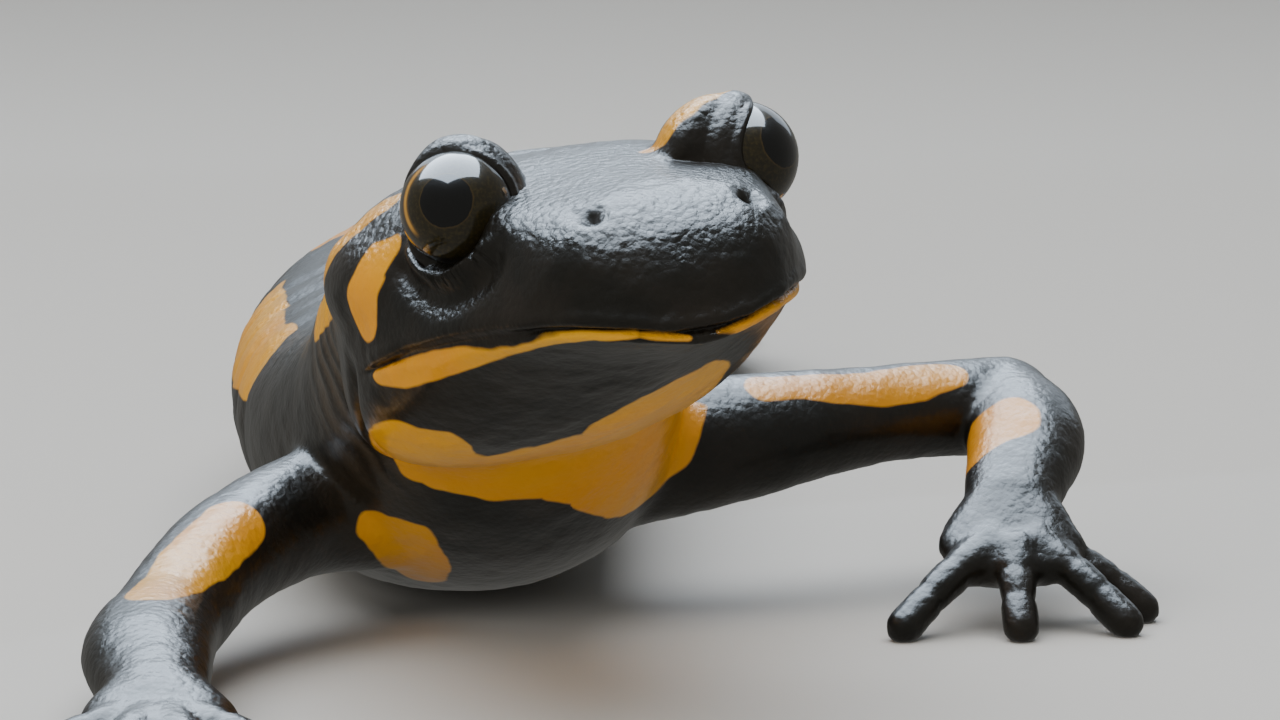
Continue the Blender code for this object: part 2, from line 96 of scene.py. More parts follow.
# ---------------------------------------------------------------------------------------
# Trunk and tail, under the skin.
# A soft, slightly flattened trunk that rests on its belly, and a round tail that tapers
# and lies in a lazy curve.  Each station is x, y, height, half width, rise and drop.
# ---------------------------------------------------------------------------------------
BODY = (
    (-5.4, 13.6, 15.9, 7.4, 5.2, 5.2),
    (-7.4, 19.6, 14.0, 7.3, 5.5, 5.6),
    (-8.6, 26.4, 9.3, 7.9, 6.0, 6.9),
    (-10.0, 34.5, 6.9, 8.7, 6.0, 6.9),
    (-10.8, 44.0, 6.4, 9.4, 6.0, 6.7),
    (-11.1, 54.0, 6.4, 9.7, 6.2, 6.7),
    (-10.8, 64.0, 6.3, 9.4, 6.2, 6.6),
    (-9.9, 74.0, 6.1, 8.5, 6.0, 6.4),
    (-8.6, 84.0, 5.8, 7.2, 5.8, 6.0),
    (-7.9, 94.0, 5.1, 5.8, 5.3, 5.25),
    (-7.2, 104.0, 4.5, 4.7, 4.7, 4.62),
    (-6.4, 115.0, 4.1, 4.0, 4.2, 4.22),
    (-5.8, 126.5, 3.5, 3.4, 3.6, 3.62),
    (-6.1, 138.0, 2.85, 2.8, 3.0, 2.97),
    (-7.8, 149.0, 2.25, 2.15, 2.35, 2.37),
    (-10.4, 158.8, 1.65, 1.55, 1.7, 1.77),
    (-13.0, 167.0, 1.15, 1.05, 1.15, 1.25),
)
RING_POINTS = 48
forms = []


def between(rows, places):
    """Values at places in a short table of place and value, on a smooth curve."""
    knots, values = np.array(rows, float).T
    slopes = np.gradient(values, knots)
    index = np.clip(np.searchsorted(knots, places) - 1, 0, len(knots) - 2)
    span = knots[index + 1] - knots[index]
    t = np.clip((places - knots[index]) / span, 0, 1)
    start = (1 + 2 * t) * (1 - t) ** 2 * values[index] + t * (1 - t) ** 2 * span * slopes[index]
    end = t * t * (3 - 2 * t) * values[index + 1] + t * t * (t - 1) * span * slopes[index + 1]
    return start + end


def smooth_run(stations, steps):
    """Rows of a smooth curve through the stations, with some steps between each pair."""
    rows = np.array(stations, float)
    rows = np.vstack([2 * rows[0] - rows[1], rows, 2 * rows[-1] - rows[-2]])
    run = []
    for first in range(len(rows) - 3):
        before, here, there, after = rows[first:first + 4]
        for step in range(steps):
            t = step / steps
            run.append(here + 0.5 * t * ((there - before)
                       + t * (2 * before - 5 * here + 4 * there - after)
                       + t * t * (3 * here - before - 3 * there + after)))
    run.append(rows[-2])
    return np.array(run)


def ring(centre, side, up, half_width, rise, drop, power, under_power):
    """One closed ring: a rounded oval of its own height above and below its centre."""
    angle = 2 * math.pi * np.arange(RING_POINTS) / RING_POINTS
    powers = np.where(np.sin(angle) > 0, power, under_power)
    across = np.sign(np.cos(angle)) * np.abs(np.cos(angle)) ** (2 / powers)
    along = np.sign(np.sin(angle)) * np.abs(np.sin(angle)) ** (2 / powers)
    height = np.where(along > 0, rise, drop) * along
    return centre + np.outer(across * half_width, side) + np.outer(height, up)


def loft(rings):
    """A closed form of quads through the rings, with flat ends, added to the forms."""
    count = len(rings)
    here = np.arange(RING_POINTS)
    after = (here + 1) % RING_POINTS
    base = (np.arange(count - 1) * RING_POINTS)[:, None]
    quads = np.stack([base + here, base + after,
                      base + RING_POINTS + after, base + RING_POINTS + here], -1)
    faces = quads.reshape(-1, 4).tolist()
    faces.append(here[::-1].tolist())
    faces.append((here + (count - 1) * RING_POINTS).tolist())
    mesh = bpy.data.meshes.new("form")
    mesh.from_pydata(np.concatenate(rings).tolist(), [], faces)
    shell = bmesh.new()
    shell.from_mesh(mesh)
    bmesh.ops.recalc_face_normals(shell, faces=shell.faces)
    shell.to_mesh(mesh)
    shell.free()
    forms.append(mesh)


def tube(stations, steps, power=2.0):
    """A loft along stations of x, y, z, half width, rise and drop, with a round far end."""
    run = smooth_run(stations, steps)
    ahead = np.roll(run[:, :3], -1, 0)
    ahead[-1] = run[-1, :3]
    behind = np.roll(run[:, :3], 1, 0)
    behind[0] = run[0, :3]
    along = (ahead - behind) / np.linalg.norm(ahead - behind, axis=1)[:, None]
    side = np.cross(along, (0, 0, 1))
    side /= np.linalg.norm(side, axis=1)[:, None]
    up = np.cross(side, along)
    rings = [ring(row[:3], side[n], up[n], *row[3:], power, power) for n, row in enumerate(run)]
    width, rise, drop = run[-1, 3:]
    for turn in (25, 50, 70, 84):
        shrink = math.cos(math.radians(turn))
        reach = math.sin(math.radians(turn)) * min(width, rise)
        rings.append(ring(run[-1, :3] + along[-1] * reach, side[-1], up[-1],
                          width * shrink, rise * shrink, drop * shrink, power, power))
    loft(rings)


tube(BODY, steps=10, power=2.1)


# ---------------------------------------------------------------------------------------
# Legs, hands and feet, under the skin.
# Short, thick arms and legs, four blunt fingers and five toes, soft to their tips.
# Each is stations of x, y, z, half width and half thickness, then the way its hand or
# foot points, in degrees from -Y towards +X, and each digit's turn from that and reach.
# ---------------------------------------------------------------------------------------
LEGS = {
    "fore_left": {
        "upper": ((-3.5, 29.4, 6.5, 3.0, 3.1), (1.7, 30.4, 7.1, 2.5, 2.7),
                  (7.6, 33.4, 7.6, 1.95, 2.05), (13.0, 36.4, 7.5, 2.1, 2.1)),
        "lower": ((13.0, 36.4, 7.5, 2.1, 2.1), (13.7, 33.0, 6.5, 2.5, 2.2),
                  (12.8, 28.6, 4.7, 2.0, 1.55)),
        "palm": ((12.8, 28.6, 4.7, 2.0, 1.45), (12.7, 26.9, 3.3, 3.0, 1.3),
                 (12.7, 25.6, 2.5, 2.4, 0.95)),
        "heading": 0, "digits": ((-50, 5.9), (3, 3.8), (58, 5.3), (92, 5.4)),
    },
    "fore_right": {
        "upper": ((-10.5, 26.8, 5.4, 3.0, 3.1), (-15.6, 23.8, 5.1, 2.6, 2.6),
                  (-18.9, 18.8, 4.1, 2.3, 2.3), (-20.7, 13.0, 2.6, 2.2, 2.15)),
        "lower": ((-20.7, 13.0, 2.6, 2.2, 2.15), (-20.9, 8.2, 2.35, 2.5, 2.1),
                  (-20.2, 3.2, 1.9, 1.95, 1.45)),
        "palm": ((-20.2, 3.2, 1.9, 2.0, 1.45), (-19.9, 1.2, 1.4, 3.0, 1.3),
                 (-19.7, -0.2, 1.05, 2.4, 0.95)),
        "heading": 5, "digits": ((55, 5.4), (15, 6.4), (-22, 6.6), (-62, 5.4)),
    },
    "hind_left": {
        "upper": ((-6.5, 84.0, 5.4, 3.2, 3.2), (-1.6, 85.6, 5.2, 2.9, 3.0),
                  (1.1, 88.6, 4.8, 2.55, 2.6), (2.0, 92.6, 4.1, 2.3, 2.3)),
        "lower": ((2.0, 92.6, 4.1, 2.3, 2.3), (1.5, 96.8, 3.2, 2.5, 2.2),
                  (0.4, 101.2, 2.2, 1.95, 1.55)),
        "palm": ((0.4, 101.2, 2.2, 2.0, 1.45), (0.4, 103.3, 1.5, 2.6, 1.2),
                 (0.5, 104.8, 1.1, 2.4, 0.95)),
        "heading": 178, "digits": ((-50, 3.6), (-26, 5.4), (-2, 6.6), (18, 6.2), (38, 4.6)),
    },
    "hind_right": {
        "upper": ((-10.0, 84.8, 5.4, 3.2, 3.2), (-14.3, 87.0, 5.2, 2.9, 3.0),
                  (-16.8, 90.2, 4.8, 2.55, 2.6), (-17.6, 94.2, 4.1, 2.3, 2.3)),
        "lower": ((-17.6, 94.2, 4.1, 2.3, 2.3), (-17.5, 98.4, 3.2, 2.5, 2.2),
                  (-16.6, 102.8, 2.2, 1.95, 1.55)),
        "palm": ((-16.6, 102.8, 2.2, 2.0, 1.45), (-16.6, 105.0, 1.5, 2.7, 1.2),
                 (-16.7, 106.6, 1.1, 2.5, 0.95)),
        "heading": -172, "digits": ((60, 4.2), (30, 5.8), (2, 7.0), (-25, 6.3), (-52, 4.5)),
    },
}
DIGIT_START = 0.9              # from the palm's middle
DIGIT_RADII = (1.1, 0.8, 0.8)
DIGIT_TIP_HEIGHT = 0.57
DIGIT_ARCH = 0.3
digits = []

for leg in LEGS.values():
    for length in ("upper", "lower", "palm"):
        tube([row + row[4:] for row in leg[length]], steps=7)
    palm = np.array(leg["palm"][1][:3])
    for turn, reach in leg["digits"]:
        angle = math.radians(leg["heading"] + turn)
        way = np.array([math.sin(angle), -math.cos(angle), 0])
        root = palm + way * DIGIT_START
        tip = palm + way * reach
        tip[2] = DIGIT_TIP_HEIGHT
        arch = (root + tip) / 2 + (0, 0, DIGIT_ARCH)
        tube([tuple(place) + (radius,) * 3
              for place, radius in zip((root, arch, tip), DIGIT_RADII)], steps=6)
        digits.append((root, tip))


# ---------------------------------------------------------------------------------------
# Head, under the skin.
# A broad flat skull with an upright upper lip that overhangs the jaw, a brow round each
# eye, and the long poison gland behind it.  The tables give half width, height of the
# top and depth of the jaw by the distance behind the mouth tip.
# ---------------------------------------------------------------------------------------
HEAD_LENGTH = 21.0
HEAD_RINGS = 60
FIRST_RING = 0.02              # behind the mouth tip
HEAD_HALF_WIDTH = ((0.0, 0.6), (0.15, 1.7), (0.5, 2.8), (1.5, 4.1), (3.0, 5.1), (5.0, 6.1),
                   (7.5, 7.0), (10.0, 7.7), (13.0, 8.35), (15.5, 8.5), (18.0, 8.1), (21.0, 7.3))
HEAD_TOP = ((0.0, 1.8), (0.5, 3.1), (1.5, 4.2), (3.0, 4.95), (5.5, 5.55), (8.6, 6.1),
            (12.0, 6.5), (15.0, 6.5), (18.0, 6.2), (21.0, 5.7))
JAW_DEPTH = ((0.0, 0.8), (1.5, 0.75), (4.0, 1.2), (8.0, 2.7), (12.0, 4.4),
             (16.0, 5.2), (21.0, 5.4))
# How square the skull's shoulders and the jaw's sides are, from 2 for an ellipse
SKULL_POWER = ((0.0, 3.4), (2.5, 3.3), (4.2, 2.7), (6.0, 2.15), (7.5, 1.95), (10.0, 2.2),
               (13.0, 2.9), (21.0, 3.2))
JAW_POWER = ((0.0, 1.5), (4.0, 1.35), (8.0, 1.4), (11.0, 1.5), (14.0, 1.7), (21.0, 2.2))
# The throat is squarer on the outer side of the head's turn
OUTER_JAW_POWER = ((0.0, 1.5), (4.0, 1.35), (8.0, 1.7), (11.0, 2.2), (14.0, 2.8), (21.0, 2.8))
LIP_POWER = 6.0
LIP_HEIGHT = 0.9               # from the mouth line to the widest part of the skull
JAW_SET_BACK = 0.18
JAW_WIDTH = 0.975              # of the skull's, and a little more towards the mouth's corner
# The mouth line, seen from the side, dips at its front and towards its corner
MOUTH_LINE = ((-21.0, -1.6), (-18.8, -1.25), (-14.0, -0.5), (-11.0, 0.0), (-8.0, 0.35),
              (-5.0, 0.5), (-3.0, 0.52), (-1.5, 0.4), (-0.5, 0.1), (0.0, -0.3), (2.0, -0.3))
BROW_PLACE = np.array([-8.3, 4.8, 4.9])
BROW_RADII = np.array([3.3, 2.6, 2.9])
PAROTOID_PLACE = np.array([-15.4, 6.3, 2.4])
PAROTOID_RADII = np.array([5.0, 2.5, 2.6])


def head_half(narrow, shift, centre, top, bottom, power, under_power):
    """The skull with its lip, or the jaw, as a loft in the head's frame."""
    rings = []
    for step in np.linspace(0, 1, HEAD_RINGS):
        back = FIRST_RING + (HEAD_LENGTH - FIRST_RING) * step ** 1.7
        middle = centre(back)
        shape = ring(np.array([-back - shift, 0, middle]), np.array([0, 1, 0]),
                     np.array([0, 0, 1]), between(HEAD_HALF_WIDTH, back) * narrow(back),
                     top(back) - middle, middle - bottom(back), power(back),
                     under_power(back))
        rings.append(from_head(shape))
    loft(rings)


def ball(place, radii):
    """A closed ellipsoid in the head's frame, added to the forms."""
    mesh = bpy.data.meshes.new("form")
    shell = bmesh.new()
    bmesh.ops.create_uvsphere(shell, u_segments=48, v_segments=32, radius=1)
    for vertex in shell.verts:
        vertex.co = from_head(np.array(vertex.co) * radii + place)
    shell.to_mesh(mesh)
    shell.free()
    forms.append(mesh)


def mouth_height(back):
    """The height of the mouth line at a distance behind the mouth tip."""
    return between(MOUTH_LINE, -back)


head_half(lambda back: 1.0, 0.0, lambda back: mouth_height(back) + LIP_HEIGHT,
          lambda back: between(HEAD_TOP, back), mouth_height,
          lambda back: between(SKULL_POWER, back), lambda back: LIP_POWER)
head_half(lambda back: JAW_WIDTH + 0.02 * min(back / 14, 1) ** 3, JAW_SET_BACK,
          lambda back: mouth_height(back) - 0.15, lambda back: mouth_height(back) + 0.6,
          lambda back: -between(JAW_DEPTH, back), lambda back: LIP_POWER,
          lambda back: np.where(np.arange(RING_POINTS) > RING_POINTS * 3 / 4,
                                between(JAW_POWER, back), between(OUTER_JAW_POWER, back)))
for side in (np.ones(3), RIGHT):
    ball(BROW_PLACE * side, BROW_RADII)
    ball(PAROTOID_PLACE * side, PAROTOID_RADII)


# ---------------------------------------------------------------------------------------
# The skin, one piece from the lips to the tip of the tail.
# Thin, wet and close on the flesh.  The forms are joined in a space that is magnified
# round the head, so that the head's mesh is the finest, and then softened.
# ---------------------------------------------------------------------------------------
MAGNIFY_CENTRE = from_head((-8.0, 0.0, 1.5))
MAGNIFY = 2.0
MAGNIFY_RADIUS = 14.0
VOXEL = 0.3


def rescaled(points, radial):
    """Points moved along their rays from the head's middle, by a function of distance."""
    ray = points - MAGNIFY_CENTRE
    reach = np.linalg.norm(ray, axis=1)[:, None]
    return MAGNIFY_CENTRE + ray * (radial(reach) / np.maximum(reach, 1e-9))


def magnified(reach):
    """Distances from the head's middle, made larger on the head and only moved out past it."""
    return np.where(reach < MAGNIFY_RADIUS, reach * MAGNIFY,
                    reach + (MAGNIFY - 1) * MAGNIFY_RADIUS)


def restored(reach):
    """The distances that magnified ones had before."""
    return np.where(reach < MAGNIFY_RADIUS * MAGNIFY, reach / MAGNIFY,
                    reach - (MAGNIFY - 1) * MAGNIFY_RADIUS)


def points_of(mesh):
    """A mesh's vertices as an array."""
    values = np.empty(len(mesh.vertices) * 3, np.float32)
    mesh.vertices.foreach_get("co", values)
    return values.reshape(-1, 3).astype(float)


def set_points(mesh, points):
    """Move a mesh's vertices to the points."""
    mesh.vertices.foreach_set("co", points.astype(np.float32).ravel())
    mesh.update()


def edges_of(mesh):
    """A mesh's edges as pairs of vertex numbers."""
    pairs = np.empty(len(mesh.edges) * 2, np.int32)
    mesh.edges.foreach_get("vertices", pairs)
    return pairs.reshape(-1, 2)


def normals_of(mesh):
    """A mesh's vertex normals."""
    values = np.empty(len(mesh.vertices) * 3, np.float32)
    mesh.vertex_normals.foreach_get("vector", values)
    return values.reshape(-1, 3).astype(float)


def relaxed(points, edges, weight, rounds):
    """Points drawn towards the mean of their neighbours, each by its weight."""
    count = len(points)
    first, second = edges.T
    degree = np.bincount(edges.ravel(), minlength=count)
    for _ in range(rounds):
        mean = np.stack([(np.bincount(first, points[second, axis], count)
                          + np.bincount(second, points[first, axis], count)) / degree
                         for axis in range(3)], 1)
        points = points + weight * (mean - points)
    return points


whole = bmesh.new()
for form in forms:
    whole.from_mesh(form)
skin_mesh = bpy.data.meshes.new("salamander_skin")
whole.to_mesh(skin_mesh)
whole.free()
set_points(skin_mesh, rescaled(points_of(skin_mesh), magnified))
skin = bpy.data.objects.new("salamander_skin", skin_mesh)
bpy.context.scene.collection.objects.link(skin)
remesh = skin.modifiers.new("join", "REMESH")
remesh.mode = "VOXEL"
remesh.voxel_size = VOXEL
graph = bpy.context.evaluated_depsgraph_get()
skin_mesh = bpy.data.meshes.new_from_object(skin.evaluated_get(graph))
skin.modifiers.clear()
skin.data = skin_mesh
points = rescaled(points_of(skin_mesh), restored)
edges = edges_of(skin_mesh)


def falloff(distance, size):
    """One at no distance, falling smoothly to nothing over about twice the size."""
    return np.exp(-(distance / size) ** 2)


def ramp(values, start, end):
    """Zero at the start, one at the end and smooth between."""
    t = np.clip((values - start) / (end - start), 0, 1)
    return t * t * (3 - 2 * t)


def apart(places, place):
    """How far each place is from one place."""
    return np.linalg.norm(places - place, axis=1)


def refined(mesh, chosen):
    """The mesh with each edge between two chosen vertices halved."""
    shell = bmesh.new()
    shell.from_mesh(mesh)
    halved = [edge for edge in shell.edges
              if chosen[edge.verts[0].index] and chosen[edge.verts[1].index]]
    bmesh.ops.subdivide_edges(shell, edges=halved, cuts=1, use_grid_fill=True)
    shell.to_mesh(mesh)
    shell.free()
    return points_of(mesh), edges_of(mesh)


def over_mouth(places):
    """Heights above the mouth line, of places in the head's frame."""
    return places[:, 2] - mouth_height(-places[:, 0])


HEAD_MIDDLE = (-10.0, 0.0, 0.0)
HEAD_REACH = 16.0


def on_head(places):
    """Which places, in the head's frame, are near enough its middle to be on it."""
    return apart(places, HEAD_MIDDLE) < HEAD_REACH


# Where the legs leave the trunk the skin runs over in soft webs, and round the head's
# joins it is drawn smooth
WEB_SIZE = 3.2
NAPE_BACK = 20.5               # behind the mouth tip
NAPE_SIZE = 3.0
NAPE_MIDDLE = (-18.0, 0.0, 0.0)
NAPE_REACH = 14.0
MOUTH_CORNER = 13.6            # behind the mouth tip
NOSTRILS = {-1: np.array([-1.9, -3.0, 4.75]), 1: np.array([-1.8, 3.25, 4.3])}
ROOTS = ((0.5, 30.2, 6.8), (-17.0, 24.4, 4.6), (-1.0, 86.2, 5.2), (-14.6, 87.2, 5.2))
points = relaxed(points, edges, 0.5, rounds=4)
webs = sum(falloff(apart(points, root), WEB_SIZE) for root in np.array(ROOTS))
places = in_head(points)
nape = falloff(places[:, 0] + NAPE_BACK, NAPE_SIZE)
nape *= apart(places, NAPE_MIDDLE) < NAPE_REACH
soft = 0.5 * np.clip(webs + nape, 0, 1)
points = relaxed(points, edges, soft[:, None], rounds=45)
at_head = ramp(places[:, 0], -23, -19) * on_head(places)
points = relaxed(points, edges, 0.5 * at_head[:, None], rounds=10)
set_points(skin_mesh, points)

# The lips, the lids and the nostrils have a mesh twice as fine, out to these distances
FINE_FROM_MOUTH = 0.9
FINE_FROM_EYE = 1.7
FINE_FROM_NOSTRIL = 1.3
places = in_head(points)
chosen = (np.abs(over_mouth(places)) < FINE_FROM_MOUTH) & (places[:, 0] > -MOUTH_CORNER - 2)
chosen &= on_head(places)
for side in (np.ones(3), RIGHT):
    chosen |= apart(places, EYE_PLACE * side) < EYE_RADIUS + FINE_FROM_EYE
for nostril in NOSTRILS.values():
    chosen |= apart(places, nostril) < FINE_FROM_NOSTRIL
points, edges = refined(skin_mesh, chosen)
places = in_head(points)
near_head = on_head(places)
ahead_of_neck = near_head & (places[:, 0] > -19)
points = relaxed(points, edges, 0.5 * ahead_of_neck[:, None], rounds=3)
set_points(skin_mesh, points)


def pushed(amount):
    """The skin moved out along its normals, as places in the design and in the head."""
    set_points(skin_mesh, points_of(skin_mesh) + normals_of(skin_mesh) * amount[:, None])
    moved = points_of(skin_mesh)
    return moved, in_head(moved)


def along_path(places, path):
    """Each place's distance from a path, and how far along the path it is from 0 to 1."""
    path = np.array(path, float)
    lengths = np.linalg.norm(np.diff(path, axis=0), axis=1)
    nearest = np.full(len(places), 1e9)
    share = np.zeros(len(places))
    for n, length in enumerate(lengths):
        step = path[n + 1] - path[n]
        t = np.clip((places - path[n]) @ step / length ** 2, 0, 1)
        distance = np.linalg.norm(places - path[n] - t[:, None] * step, axis=1)
        closer = distance < nearest
        nearest[closer] = distance[closer]
        share[closer] = (lengths[:n].sum() + t[closer] * length) / lengths.sum()
    return nearest, share


def speckle(places, size, seed):
    """Smooth seeded noise from -1 to 1, in lumps of about one size."""
    table = np.random.default_rng(seed).uniform(-1, 1, 4096)
    cell = places / size
    base = np.floor(cell).astype(int)
    part = cell - base
    part = part * part * (3 - 2 * part)
    total = np.zeros(len(places))
    for corner in np.ndindex(2, 2, 2):
        share = np.prod(np.where(np.array(corner, bool), part, 1 - part), axis=1)
        total += share * table[(base + corner) @ (73856093, 19349663, 83492791) % 4096]
    return total


# The mouth is a fine crease, under the rounded edge of the upper lip
CREASE_DEPTH = 0.28
UPPER_LIP_RISE = 0.12
LOWER_LIP_RISE = 0.07
above_mouth = over_mouth(places)
at_mouth = near_head * ramp(places[:, 0], -MOUTH_CORNER - 1.5, -MOUTH_CORNER + 1)
points, places = pushed(at_mouth * (-CREASE_DEPTH * falloff(above_mouth + 0.02, 0.12)
                                    + UPPER_LIP_RISE * falloff(above_mouth - 0.4, 0.3)
                                    + LOWER_LIP_RISE * falloff(above_mouth + 0.4, 0.3)))

# The crown is hollowed a little between the eyes, and the cheek ahead of the eye is hollow
# on the right and full on the left.  The right side is -1 and the left is 1.
CROWN_DEPTH = 0.1
CHEEK_PLACE = (-5.7, 5.6, 3.6)
CHEEK_RISE = {-1: -0.75, 1: 0.25}
NOSTRIL_TILT = -30.0
NOSTRIL_STRETCH = (0.62, 1.0, 1.0)
NOSTRIL_RIM = 0.02
NOSTRIL_DEPTH = 0.85
amount = -CROWN_DEPTH * falloff(places[:, 0] + 8.0, 3.4) * falloff(places[:, 1], 1.6)
amount *= near_head * ramp(places[:, 2], 3, 4)
for side in (1, -1):
    spot = places * (1, side, 1)
    amount += CHEEK_RISE[side] * falloff(apart(spot, CHEEK_PLACE), 1.35)
    # The nostril is a small pit, longest from front to back, with a soft rim
    out = (places - NOSTRILS[side]) @ turning("Y", NOSTRIL_TILT) * NOSTRIL_STRETCH
    amount += NOSTRIL_RIM * falloff(np.linalg.norm(out, axis=1) - 0.8, 0.3)
    amount -= NOSTRIL_DEPTH * falloff(np.linalg.norm(out, axis=1), 0.42)
points, places = pushed(amount)

# The throat fold runs from behind one corner of the mouth, under the throat, to the other,
# and the neck behind it is wrinkled
THROAT_FOLD = ((-15.6, 8.8, 0.6), (-16.6, 8.6, -1.6), (-17.6, 7.8, -3.8), (-18.6, 6.0, -5.4),
               (-19.4, 3.0, -6.2), (-19.6, 0.0, -6.4))
FOLD_DEPTH = 0.45
WRINKLE_STEP = 1.15
WRINKLE_DEPTH = 0.045
amount = np.zeros(len(points))
for side in (1, -1):
    spot = places * (1, side, 1)
    nearest, share = along_path(spot, THROAT_FOLD)
    depth = ramp(share, 0, 0.15) * (spot[:, 1] > -1)
    amount -= FOLD_DEPTH * depth * falloff(nearest, 0.5)
wave = np.sin(2 * math.pi * (places[:, 0] + 0.3 * places[:, 2]
                             + 1.1 * speckle(points, 2.2, 3)) / WRINKLE_STEP)
wave *= 0.6 + 0.6 * speckle(points, 3.0, 6)
at_neck = ramp(places[:, 0], -28, -24) * (1 - ramp(places[:, 0], -19.5, -17.5))
at_neck *= (1 - ramp(places[:, 2], 2, 5)) * ramp(np.abs(places[:, 1]), 3, 6.5)
at_neck *= 1 - ramp(along_path(points, np.array(BODY)[:4, :3])[0], 8.3, 9.3)
amount += WRINKLE_DEPTH * at_neck * wave
points, places = pushed(amount)

# The trunk has a groove between each two ribs, a furrow along the back and a row of low
# glands at each side of that, and the tail is ringed
GROOVE_STEP = 4.2
GROOVE_DEPTH = 0.15
FIRST_GROOVE = 38.0
FURROW_DEPTH = 0.12
GLAND_OUT = 2.9
GLAND_HEIGHT = 0.14
TAIL_RING_STEP = 2.6
TAIL_RING_DEPTH = 0.1
body = np.array(BODY)
across = points[:, 0] - np.interp(points[:, 1], body[:, 1], body[:, 0])
height = points[:, 2] - np.interp(points[:, 1], body[:, 1], body[:, 2])
slope = np.degrees(np.arctan2(height, np.abs(across)))
near_body = np.hypot(across, height) < 1.25 * np.interp(points[:, 1], body[:, 1], body[:, 3])
flank = ramp(slope, -50, -20) * (1 - ramp(slope, 35, 65)) * near_body
rib = points[:, 1] + 0.12 * height - FIRST_GROOVE + GROOVE_STEP / 2
rib = rib % GROOVE_STEP - GROOVE_STEP / 2
at_ribs = ramp(points[:, 1], 34, 38) * (1 - ramp(points[:, 1], 80, 84))
amount = -GROOVE_DEPTH * falloff(rib, 0.7) * flank * at_ribs * (1 + 0.6 * speckle(points, 3.0, 7))
back = ramp(slope, 40, 60) * near_body * ramp(points[:, 1], 24, 34)
amount -= FURROW_DEPTH * back * falloff(across, 0.8) * (1 - ramp(points[:, 1], 90, 110))
gland = np.hypot(rib, np.abs(across) - GLAND_OUT)
amount += GLAND_HEIGHT * back * at_ribs * falloff(gland, 0.8)
at_tail = ramp(points[:, 1], 92, 98) * (1 - ramp(points[:, 1], 163, 167)) * near_body
ringed = (points[:, 1] + TAIL_RING_STEP / 2) % TAIL_RING_STEP - TAIL_RING_STEP / 2
amount -= TAIL_RING_DEPTH * at_tail * falloff(ringed, 0.42)

# Pores lie scattered on the poison glands, and creases cross each finger and toe
PORES = 18
PORE_DEPTH = 0.07
DIGIT_CREASES = (0.4, 0.7)     # shares of each digit's length
DIGIT_CREASE_DEPTH = 0.07
scatter = np.random.default_rng(5)
for side in (1, -1):
    for _ in range(PORES):
        turn = scatter.uniform(0.2, 1.3)
        lean = scatter.uniform(-1.1, 1.1)
        way = np.array([math.sin(lean), math.cos(lean) * math.cos(turn),
                        math.cos(lean) * math.sin(turn)])
        pore = (PAROTOID_PLACE + PAROTOID_RADII * way) * (1, side, 1)
        amount -= PORE_DEPTH * falloff(apart(places, pore), 0.24)
for root, tip in digits:
    path = tip - root
    reach = np.linalg.norm(path)
    t = (points - root) @ path / reach
    off = np.linalg.norm(points - root - t[:, None] * path / reach, axis=1)
    on_top = (off < 1.4) * ramp(points[:, 2], 0.6, 1.1)
    for share in DIGIT_CREASES:
        amount -= DIGIT_CREASE_DEPTH * falloff(t - reach * share, 0.22) * on_top

# All of it is faintly uneven, but for the soles and the edges of the lids
rough = ramp(points[:, 2], 0.1, 0.6)
for side in (np.ones(3), RIGHT):
    rough *= ramp(apart(places, EYE_PLACE * side), EYE_RADIUS + 0.4, EYE_RADIUS + 1.6)
fine = ramp(apart(points, MAGNIFY_CENTRE), 20, 12)
lump = 0.03 * speckle(points, 0.7, 1) + 0.04 * speckle(points, 1.7, 2)
lump += fine * 0.016 * speckle(points, 0.4, 4)
points, places = pushed(amount + rough * lump)

# Each eye sits in a round opening, under a thick rolled upper lid that is thin at its rear
# and stands off the globe at its front
LID_AIM = {-1: (48.0, 8.0), 1: (14.0, 8.0)}  # degrees ahead of straight out, and up
LID_TOP = {-1: 74.0, 1: 62.0}                # degrees from there to the lid's edge
LID_BOTTOM = {-1: 84.0, 1: 66.0}
LID_REAR_CORNER = 85.0
LID_FRONT_CORNER = 95.0
LID_FRONT_HOLLOW = {-1: 0.5, 1: 0.1}
LID_EDGE_THICK = 0.12
LID_REAR_THICK = 0.2
ROLL_THICK = {-1: 0.6, 1: 0.42}
ROLL_WIDTH = 0.9
ROLL_START = 0.5
LEDGE_THICK = 0.4
TUCK = 0.3                                   # how far the skin goes on inside the globe
LID_REACH = 1.6                              # how far round the globe the lids shape the skin


def eased_least(first, second, size):
    """The lesser of two values, rounded where they cross."""
    return -size * np.logaddexp(-first / size, -second / size)


